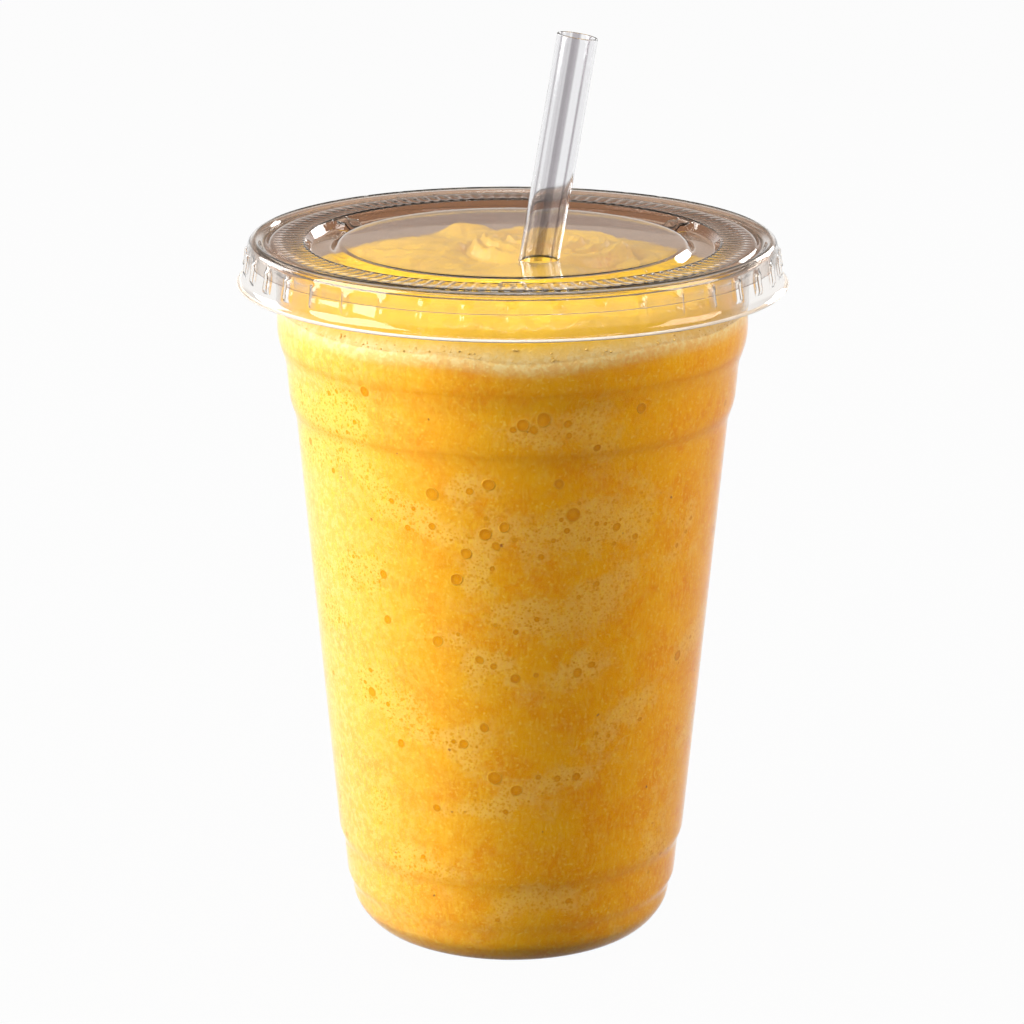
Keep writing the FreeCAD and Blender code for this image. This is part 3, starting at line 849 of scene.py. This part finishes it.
def make_smoothie(material, wall_line):
    """The drink as one closed body that reaches just into the cup's wall."""
    columns = DRINK_SEGMENTS
    theta = np.arange(columns) * FULL_TURN / columns
    turn_from = next(n for n, p in enumerate(wall_line) if p.y > FOOT_HEIGHT and p.x > FOOT_RADIUS)
    floor = [(p.x, p.y - INTO_WALL, 0, 0) for p in wall_line[1:turn_from]]
    rising = wall_line[turn_from - 1:]
    points = [turned(floor, columns)]
    level = contact_height(theta)
    low = rising[0].y
    for row in range(DRINK_SIDE_ROWS):
        height = low + (level - low) * row / (DRINK_SIDE_ROWS - 1)
        radius = wall_radius_at(height, rising) + INTO_WALL
        points.append(np.stack([radius * np.cos(theta), radius * np.sin(theta), height], 1))
    side_end = len(floor) + DRINK_SIDE_ROWS
    wall = wall_radius_at(level, rising) + INTO_WALL
    for row in range(1, DRINK_TOP_ROWS):
        share = (1 - row / DRINK_TOP_ROWS) ** 1.1
        x, y = wall * share * np.cos(theta), wall * share * np.sin(theta)
        lumps = np.array([top_lumps(*spot) for spot in zip(x, y)]) * min(1, row / 8)
        points.append(np.stack([x, y, top_height(x, y, theta, wall) + lumps], 1))
    middle = top_height(np.zeros(1), np.zeros(1), np.zeros(1), EDGE_RADIUS)[0]
    points = np.concatenate(points)
    rows = len(points) // columns
    froth = np.array([froth_at(*p) for p in points])
    froth = np.clip((froth - LEAST_FROTH) / FROTH_RANGE, 0, 1)
    heights = points[:, 2].reshape(rows, columns)
    under = level[None, :] - heights
    foam = np.exp(-(np.maximum(under - FOAM_START, 0) / FOAM_DEPTH) ** 2)
    rows_in = np.arange(rows - side_end)
    foam[side_end:] = np.clip(1 - rows_in / FOAM_TOP_ROWS, 0, 1)[:, None]
    foam = foam * FOAM_MOST
    ridge = sum(np.exp(-((heights - at) / wide) ** 2) for at, wide in RIDGES)
    ridge[side_end:] = 0
    top = np.zeros((rows, columns))
    top[side_end:] = 1
    # The pale mask: partly froth film, partly a painted sheen where the key lamp falls on the left
    # side.
    pale = np.exp(-(turn_between(theta, PALE_LIT_SIDE) / PALE_LIT_REACH) ** 2) * (1 - top)
    masks = {"froth": froth, "foam": foam, "top": top, "ridge": ridge, "pale": pale}
    attributes = {name: np.append(mask.ravel(), [0, name == "top"]).astype(np.float32)
                  for name, mask in masks.items()}
    body = close_with_poles("smoothie_body", points, rows, columns, wall_line[0].y - INTO_WALL,
                            middle, material, attributes)
    soften_ridges(body.data, attributes["ridge"])
    return body


def soften_ridges(mesh, ridge):
    """Turn the shading at the ridges outwards, as light spreads inside the drink there."""
    normals = np.array([normal.vector for normal in mesh.vertex_normals])
    outward = np.array([vertex.co for vertex in mesh.vertices]) * (1, 1, 0)
    outward /= np.maximum(np.linalg.norm(outward, axis=1, keepdims=True), MM)
    share = np.clip(ridge, 0, 1)[:, None] * RIDGE_SOFTNESS
    normals = normals + share * (outward - normals)
    normals /= np.linalg.norm(normals, axis=1, keepdims=True)
    mesh.normals_split_custom_set_from_vertices(normals.tolist())


def patch_on_wall(theta, height, outline, rise, wall_line):
    """Points round (theta, height) on the drink's side from (along, up, lift) offsets."""
    spots = []
    for along, up, lift in outline:
        radius = wall_radius_at(height + up, wall_line) + INTO_WALL + rise + lift
        angle = theta + along / radius
        spots.append((radius * math.cos(angle), radius * math.sin(angle), height + up))
    return spots


def disc_patch(size, squash, rings, corners, ragged, dice):
    """Offsets, faces and ring shares of a round patch with a slightly uneven outline."""
    uneven = [1 + ragged * dice.uniform(-1, 1) for _ in range(corners)]
    tilt = dice.uniform(0, math.pi)
    offsets, shares = [(0, 0, 0)], [0.0]
    for share in rings:
        for corner in range(corners):
            angle = FULL_TURN * corner / corners
            reach = size * share * (1 + (uneven[corner] - 1) * share)
            along, up = reach * math.cos(angle), reach * math.sin(angle) * squash
            turned_along = along * math.cos(tilt) - up * math.sin(tilt)
            turned_up = along * math.sin(tilt) + up * math.cos(tilt)
            lift = size * 0.06 * share ** 2 if share <= 1 else -0.12
            offsets.append((turned_along, turned_up, lift))
            shares.append(share)
    faces = [(0, 1 + corner, 1 + (corner + 1) % corners) for corner in range(corners)]
    faces += ring_faces(len(rings), corners, first=1)
    return offsets, faces, shares


def scatter_on_wall(name, places, rings, corners, ragged, rise, wall_line, material, seed):
    """One joined piece of round patches on the drink's side at (theta, height, size)."""
    dice = random.Random(seed)
    points, faces, shares = [], [], []
    for theta, height, size in places:
        squash = dice.uniform(0.82, 1.0)
        offsets, patch_faces, patch_shares = disc_patch(size, squash, rings, corners, ragged, dice)
        first = len(points)
        points += patch_on_wall(theta, height, offsets, rise, wall_line)
        faces += [tuple(first + corner for corner in face) for face in patch_faces]
        shares += patch_shares
    shares = np.array(shares, np.float32)
    return add_mesh(name, points, faces, material, {"rim": shares})


def wall_places(count, low, high, size_of, wanted, wall_line, seed, taken):
    """Seeded (theta, height, size) places on the drink's side after those already taken."""
    dice = random.Random(seed)
    places = list(taken)
    tries = 0
    while len(places) < count and tries < count * 60:
        tries += 1
        theta, height = dice.uniform(-math.pi, math.pi), dice.uniform(low, high)
        radius = float(wall_radius_at(height, wall_line))
        froth = froth_at(radius * math.cos(theta), radius * math.sin(theta), height)
        if dice.random() > wanted(froth):
            continue
        size = size_of(dice)
        clear = all(
            math.hypot(turn_between(theta, t) * radius, height - h) > (size + s) * 1.05
            for t, h, s in places[-500:]
        )
        if clear:
            places.append((theta, height, size))
    return places


# Large bubbles that show at the front, as (degrees to the right, height, radius).
FRONT_BUBBLES = [
    (-38, 113, 1.05), (2.5, 109, 1.15), (7.5, 110, 1.4), (13.5, 109, 0.8), (33, 110.5, 1.0),
    (-6, 97.5, 1.2), (-21, 95, 1.25), (12, 97.5, 1.0), (16, 91.5, 1.4), (-7, 88, 1.15),
    (-2, 89.5, 1.05), (-15, 79, 1.2), (-37, 69, 0.9), (-21, 66.5, 1.1), (-9, 63.5, 0.85),
    (1, 60, 0.9), (19, 60.5, 1.0), (-35, 44.5, 0.9), (-8, 50, 0.9), (-5, 40, 1.35),
    (1.5, 37.5, 1.15), (20, 39.5, 0.85), (14, 39.5, 0.7),
]


LARGE_BUBBLES, PINHOLES, SPECKS = 190, 1900, 80
BUBBLES_LOW, BUBBLES_HIGH = 9.0, 118.0
BUBBLE_RINGS, PINHOLE_RINGS, SPECK_RINGS = (0.5, 0.85, 1.0, 1.18), (0.8,), (1.0,)


def make_bubbles(materials, wall_line):
    """Large bubbles, pinholes in the froth and brown specks, each kind as one piece."""
    low, high = BUBBLES_LOW, BUBBLES_HIGH

    def in_froth(froth):
        return min(1, max(0.01, (froth - 0.22) * 2.5))

    def anywhere(froth):
        return 1

    shown = [(FRONT + math.radians(degrees), height, size) for degrees, height, size in FRONT_BUBBLES]
    large = wall_places(LARGE_BUBBLES, low, high, lambda d: 0.4 + 0.7 * d.random() ** 2, in_froth,
                        wall_line, 11, shown)
    scatter_on_wall("large_bubbles", large, BUBBLE_RINGS, 20, 0.03, 0.02, wall_line,
                    materials["bubbles"], 12)
    small = wall_places(PINHOLES, low, high, lambda d: 0.12 + 0.24 * d.random() ** 3, in_froth,
                        wall_line, 21, large)[len(large):]
    scatter_on_wall("froth_pinholes", small, PINHOLE_RINGS, 8, 0.2, 0.02, wall_line,
                    materials["bubbles"], 22)
    specks = wall_places(SPECKS, low, high, lambda d: 0.1 + 0.22 * d.random() ** 2, anywhere,
                         wall_line, 31, [])
    scatter_on_wall("brown_specks", specks, SPECK_RINGS, 7, 0.45, 0.03, wall_line,
                    materials["specks"], 32)


EDGE_BEADS = 360


def make_edge_froth(material, wall_line):
    """Small froth beads on the drink's top along the wall."""
    dice = random.Random(41)
    points, faces = [], []
    ball = bmesh.new()
    bmesh.ops.create_icosphere(ball, subdivisions=2, radius=1)
    ball.verts.ensure_lookup_table()
    shape = np.array([v.co for v in ball.verts])
    ball_faces = [tuple(v.index for v in f.verts) for f in ball.faces]
    ball.free()
    for _ in range(EDGE_BEADS):
        theta = dice.uniform(-math.pi, math.pi)
        size = 0.1 + 0.2 * dice.random() ** 2.5
        level = float(contact_height(np.array([theta]))[0])
        wall = float(wall_radius_at(level, wall_line))
        radius = wall - size * 0.6 - 1.2 * dice.random() ** 2
        x, y = radius * math.cos(theta), radius * math.sin(theta)
        here = top_height(np.array([x]), np.array([y]), np.array([theta]), wall + INTO_WALL)[0]
        first = len(points)
        points += (shape * (size, size, size * 0.7) + (x, y, here + size * 0.15)).tolist()
        faces += [tuple(first + corner for corner in face) for face in ball_faces]
    return add_mesh("edge_froth", points, faces, material)


# ---- Stage ---------------------------------------------------------------------------------------

FILL_LEVEL = 0.08
FLOOR_SIZE = 8
FLOOR_WHITE = 0.97
CAMERA_PLACE = (0, -0.600, 0.2575)
CAMERA_LENS, CAMERA_SENSOR = 115.2, 36
CAMERA_DOWN, CAMERA_ROLL = math.radians(16.42), math.radians(0.17)


def add_shown(tree):
    """1 where a surface is seen by the eye, in gloss or through glass, and 0 where it only lights."""
    ray = add_node(tree, "ShaderNodeLightPath")
    seen = add_math(tree, "ADD", ray.outputs["Is Camera Ray"], ray.outputs["Is Glossy Ray"])
    seen = add_math(tree, "ADD", seen, ray.outputs["Is Transmission Ray"], clamp=True)
    direct = add_math(tree, "SUBTRACT", 1.0, ray.outputs["Diffuse Depth"], clamp=True)
    return add_math(tree, "MULTIPLY", seen, direct)


def make_floor():
    """A pale floor that stays near white to the eye and keeps the object's soft shadow."""
    bpy.ops.mesh.primitive_plane_add(size=FLOOR_SIZE, location=(0, 0, -0.0002))
    floor = bpy.context.object
    floor.name = "floor"
    material, tree = empty_material("pale_floor")
    paint = add_node(tree, "ShaderNodeBsdfDiffuse", {"Color": (0.28, 0.28, 0.28, 1)})
    white = add_node(tree, "ShaderNodeEmission", {"Color": (1, 1, 1, 1), "Strength": 1.0})
    share = add_math(tree, "MULTIPLY", add_shown(tree), FLOOR_WHITE)
    mix = add_node(tree, "ShaderNodeMixShader", {0: share, 1: paint.outputs[0], 2: white.outputs[0]})
    add_node(tree, "ShaderNodeOutputMaterial", {"Surface": mix.outputs[0]})
    floor.data.materials.append(material)


def make_world():
    """White to the eye and through glass, dimmer overhead in gloss, and a soft even fill for light."""
    world = bpy.data.worlds.new("studio")
    bpy.context.scene.world = world
    world.use_nodes = True
    tree = world.node_tree
    tree.nodes.clear()
    way = add_node(tree, "ShaderNodeTexCoord").outputs["Generated"]
    rise = add_node(tree, "ShaderNodeSeparateXYZ", {0: way}).outputs[2]
    gloss = add_node(tree, "ShaderNodeLightPath").outputs["Is Glossy Ray"]
    share = add_range(tree, gloss, 0.0, 1.0, 0.35, 1.0)
    overhead = add_math(tree, "MULTIPLY", add_range(tree, rise, 0.04, 0.3), share)
    ceiling = add_range(tree, overhead, 0.0, 1.0, 1.0 - FILL_LEVEL, 0.3 - FILL_LEVEL)
    strength = add_math(tree, "MULTIPLY", add_shown(tree), ceiling)
    strength = add_math(tree, "ADD", strength, FILL_LEVEL)
    colour = add_mix(tree, overhead, (1, 1, 1, 1), (1, 0.84, 0.72, 1))
    sky = add_node(tree, "ShaderNodeBackground", {"Color": colour, "Strength": strength})
    add_node(tree, "ShaderNodeOutputWorld", {"Surface": sky.outputs[0]})


def add_lamp(name, place, aim, size, power, colour=(1, 1, 1)):
    """A soft lamp of size (across, up) at place that points at aim."""
    data = bpy.data.lights.new(name, "AREA")
    data.shape = "RECTANGLE"
    data.size, data.size_y = size
    data.energy = power
    data.color = colour
    lamp = bpy.data.objects.new(name, data)
    lamp.location = place
    lamp.rotation_euler = (Vector(aim) - Vector(place)).to_track_quat("-Z", "Y").to_euler()
    bpy.context.scene.collection.objects.link(lamp)


def make_lights():
    """A large key from the left, a warm lamp from the right, and softer ones behind and above."""
    middle = (0, 0, 0.08)
    add_lamp("key", (-0.86, -0.26, 0.50), middle, (0.7, 0.7), 11.9, (1, 0.99, 0.97))
    add_lamp("right", (0.86, -0.12, 0.50), middle, (0.5, 0.5), 4.7, (1, 0.9, 0.78))
    add_lamp("back left", (-0.75, 0.55, 0.42), middle, (0.4, 0.4), 3.0)
    add_lamp("back right", (0.45, 0.80, 0.40), middle, (0.25, 0.25), 1.5)
    add_lamp("overhead strip", (0.0, -0.10, 0.85), middle, (0.8, 0.07), 1.0)


def make_camera():
    """A camera in front of the cup and above it, looking a little down."""
    data = bpy.data.cameras.new("camera")
    data.lens = CAMERA_LENS
    data.sensor_width = CAMERA_SENSOR
    camera = bpy.data.objects.new("camera", data)
    camera.matrix_world = (
        Matrix.Translation(CAMERA_PLACE)
        @ Matrix.Rotation(math.pi / 2 - CAMERA_DOWN, 4, "X")
        @ Matrix.Rotation(CAMERA_ROLL, 4, "Z")
    )
    bpy.context.scene.collection.objects.link(camera)
    bpy.context.scene.camera = camera


def set_light_paths():
    """Enough bounces for light to get through the nested layers of clear plastic."""
    paths = bpy.context.scene.cycles
    paths.max_bounces = 14
    paths.transmission_bounces = 12
    paths.transparent_max_bounces = 20
    paths.glossy_bounces = 4
    paths.diffuse_bounces = 2
    bpy.context.scene.view_settings.view_transform = "Standard"


# The colours of the clear plastics: plain; darker where seen edge-on, partly the longer path and
# partly a painted reflection of dark surroundings; and a painted brown reflection on the far side's
# inner face.
CUP_TINTS_AND_REFLECTIONS = (rgb(252, 251, 250), rgb(220, 206, 194), rgb(152, 112, 86))
LID_TINTS_AND_REFLECTIONS = (rgb(253, 252, 250), rgb(240, 231, 223), rgb(142, 102, 78))


def main():
    """The stage, then each piece with its material and body, hiding the CAD node it replaces."""
    make_camera()
    make_world()
    make_lights()
    make_floor()
    set_light_paths()
    pulp, haze = make_pulp_group(), make_haze_group()
    cup_plastic = make_clear_plastic("clear_cup_plastic", haze, CUP_TINTS_AND_REFLECTIONS, 1.17, (0.02, 0.06, 0.05))
    lid_plastic = make_clear_plastic("clear_lid_plastic", haze, LID_TINTS_AND_REFLECTIONS, 1.38, (0.02, 0.05, 0.06))
    straw_plastic = make_straw_plastic(haze)
    _, inside = cup_wall_line()
    cup = make_cup(cup_plastic)
    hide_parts("cup")
    lid = make_lid(lid_plastic, make_edge_material(haze))
    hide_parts("lid")
    straw = make_straw(straw_plastic)
    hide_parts("straw")
    smoothie = make_smoothie(make_smoothie_material(pulp, make_froth_group()), inside)
    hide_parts("smoothie")
    side = [p for p in inside if p.x > FOOT_RADIUS and p.y > FOOT_HEIGHT - 0.3]
    make_bubbles({"bubbles": make_bubble_material(pulp), "specks": make_speck_material(pulp)}, side)
    make_edge_froth(make_foam_material(pulp), side)


main()
